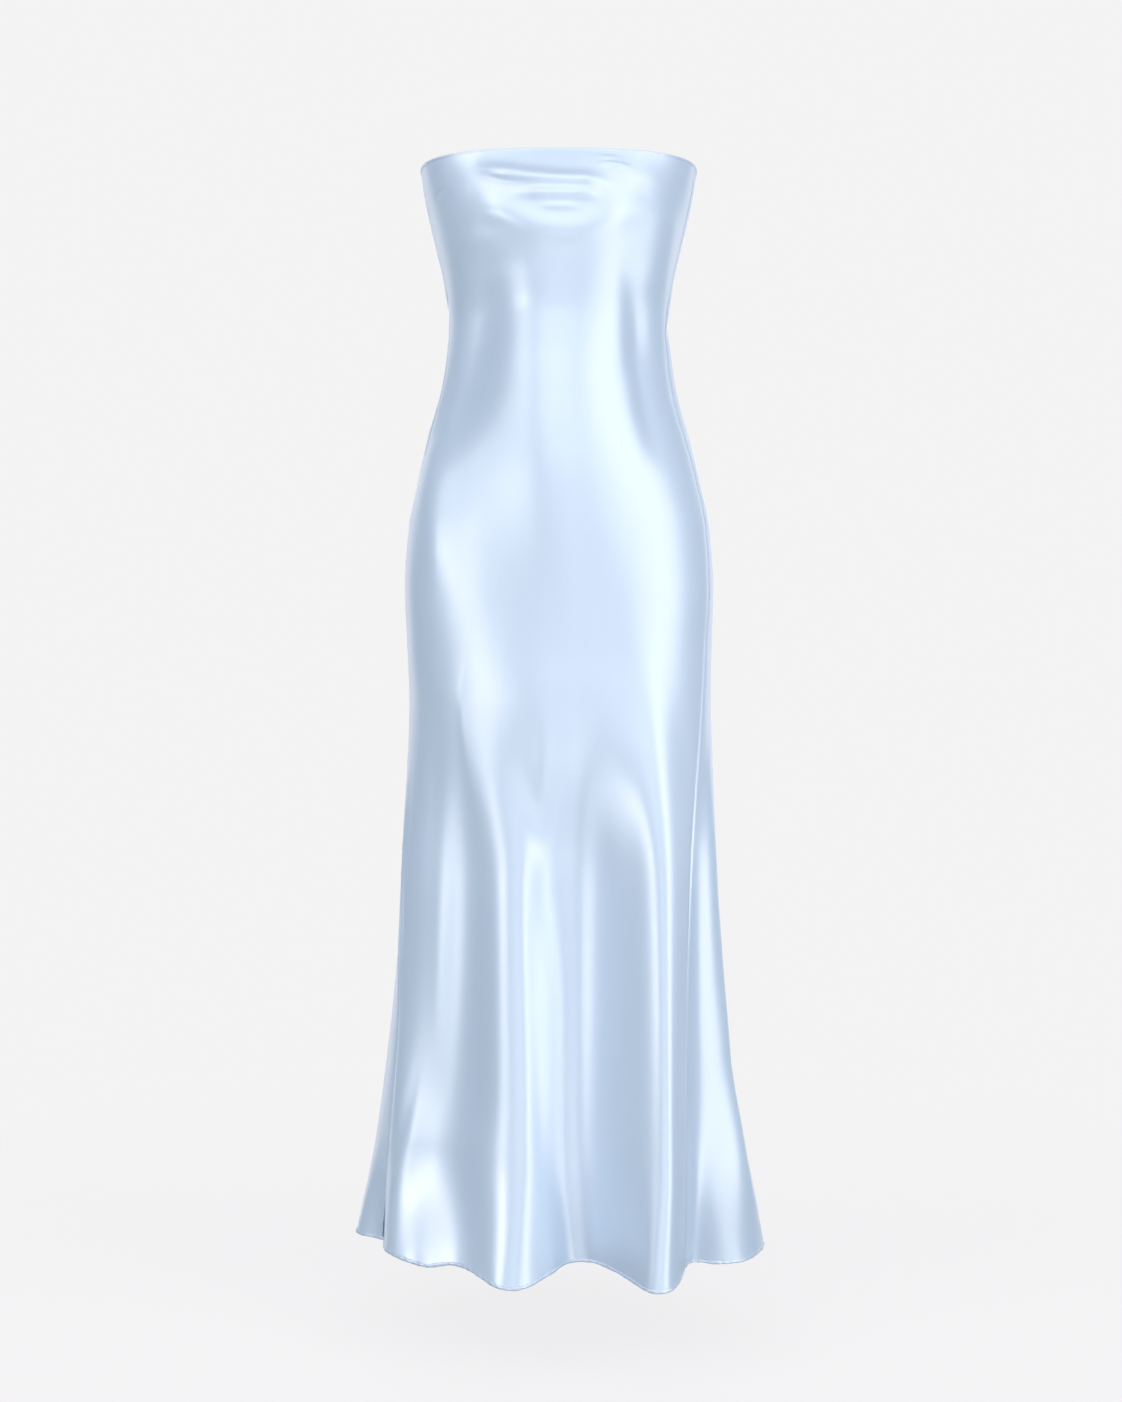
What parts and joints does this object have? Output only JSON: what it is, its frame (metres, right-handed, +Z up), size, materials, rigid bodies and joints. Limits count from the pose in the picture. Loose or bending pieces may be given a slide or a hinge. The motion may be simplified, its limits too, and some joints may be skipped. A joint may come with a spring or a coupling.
{
  "type": "strapless dress",
  "caption": "Long strapless satin dress, filled out as worn, close at the bust and hips, with a softly folded flared skirt open at the top and the hem.",
  "frame": {"origin": "on the axis of the body at the bust line, where the wearer holds the dress up", "axes": "+Z up towards the top edge, front of the dress towards -Y, +X to the right in a front view"},
  "size_m": [0.479, 0.34, 1.2547],
  "materials": {
    "front_satin": "pale blue satin, smooth side out",
    "back_satin": "pale blue satin, smooth side out"
  },
  "bodies": {
    "root": {"front_panel": "front_satin", "back_panel": "back_satin"}
  },
  "joints": []
}
